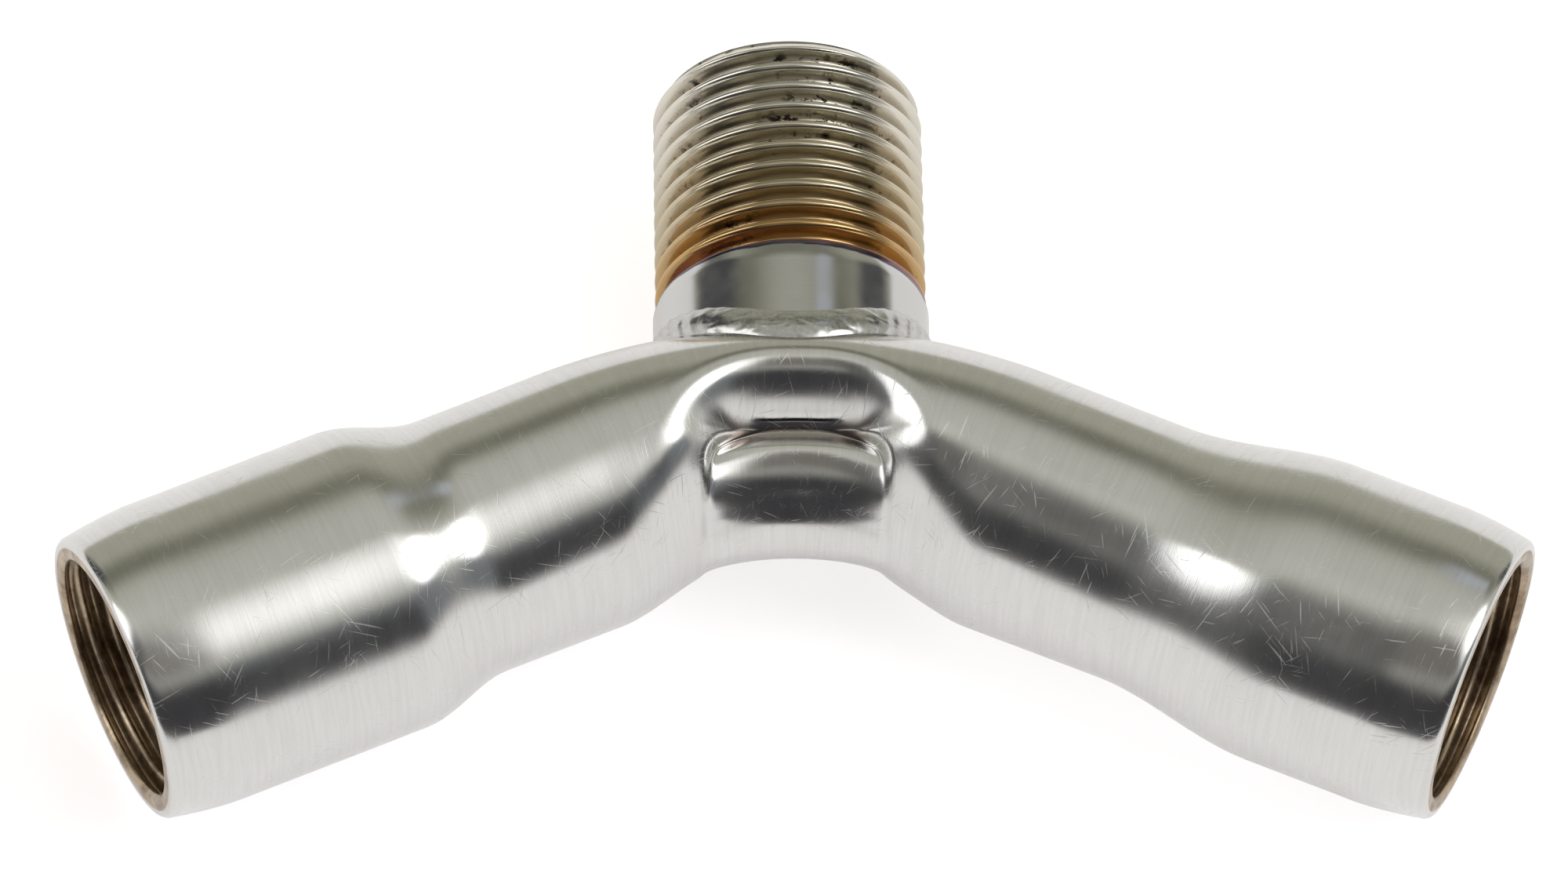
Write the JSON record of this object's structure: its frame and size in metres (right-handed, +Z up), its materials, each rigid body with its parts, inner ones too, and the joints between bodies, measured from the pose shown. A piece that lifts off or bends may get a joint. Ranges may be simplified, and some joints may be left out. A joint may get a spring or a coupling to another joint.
{
  "type": "y pipe adapter",
  "caption": "Stainless Y adapter that splits one half inch pipe feed into two: a male threaded nipple welded to a bent tube with threaded sockets.",
  "frame": {"origin": "on the floor under the middle of the fitting's bounding box, the tube lying flat on its two sockets", "axes": "+X to the right hand socket, +Y out along the male nipple, +Z up across the flat of the Y"},
  "size_m": [0.1128, 0.0621, 0.0239],
  "materials": {
    "tube_steel": "polished stainless steel with fine scratches round the tube",
    "nipple_steel": "stainless steel, its thread tinted straw to brown by the welding heat",
    "weld_steel": "blended weld bead with fine ripples and dark toes"
  },
  "bodies": {
    "root": {"bent_tube": "tube_steel", "threaded_nipple": "nipple_steel", "weld_bead": "weld_steel"}
  },
  "joints": []
}
